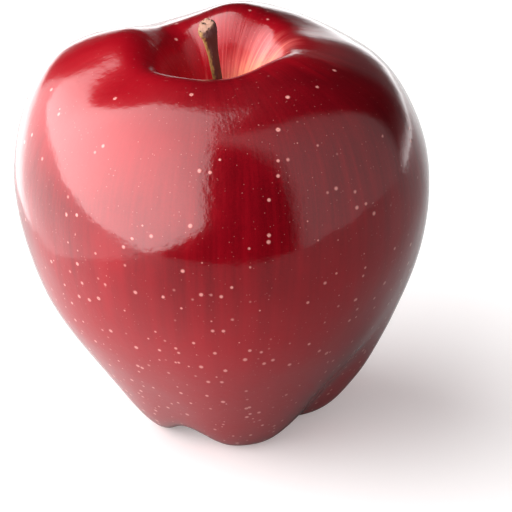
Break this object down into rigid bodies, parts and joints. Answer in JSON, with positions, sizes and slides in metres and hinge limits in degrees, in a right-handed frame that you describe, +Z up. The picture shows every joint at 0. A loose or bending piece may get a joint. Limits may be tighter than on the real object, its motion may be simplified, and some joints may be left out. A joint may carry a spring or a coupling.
{
  "type": "apple",
  "caption": "Tall red apple standing upright on its basal lobes, with a deep stem cavity, a short woody stem and a dried calyx in the basin underneath.",
  "frame": {"origin": "on the ground, under the centre of the object's box", "axes": "+Z up along the core, -Y the front that faces the viewer"},
  "size_m": [0.0812, 0.0818, 0.0838],
  "materials": {
    "skin": "waxy, glossy",
    "stem_wood": "rough bark",
    "dried_calyx": "dry, matt"
  },
  "bodies": {
    "root": {"fruit": "skin", "stem": "stem_wood", "sepal_1": "dried_calyx", "sepal_2": "dried_calyx", "sepal_3": "dried_calyx", "sepal_4": "dried_calyx", "sepal_5": "dried_calyx", "stamens": "dried_calyx"}
  },
  "joints": []
}
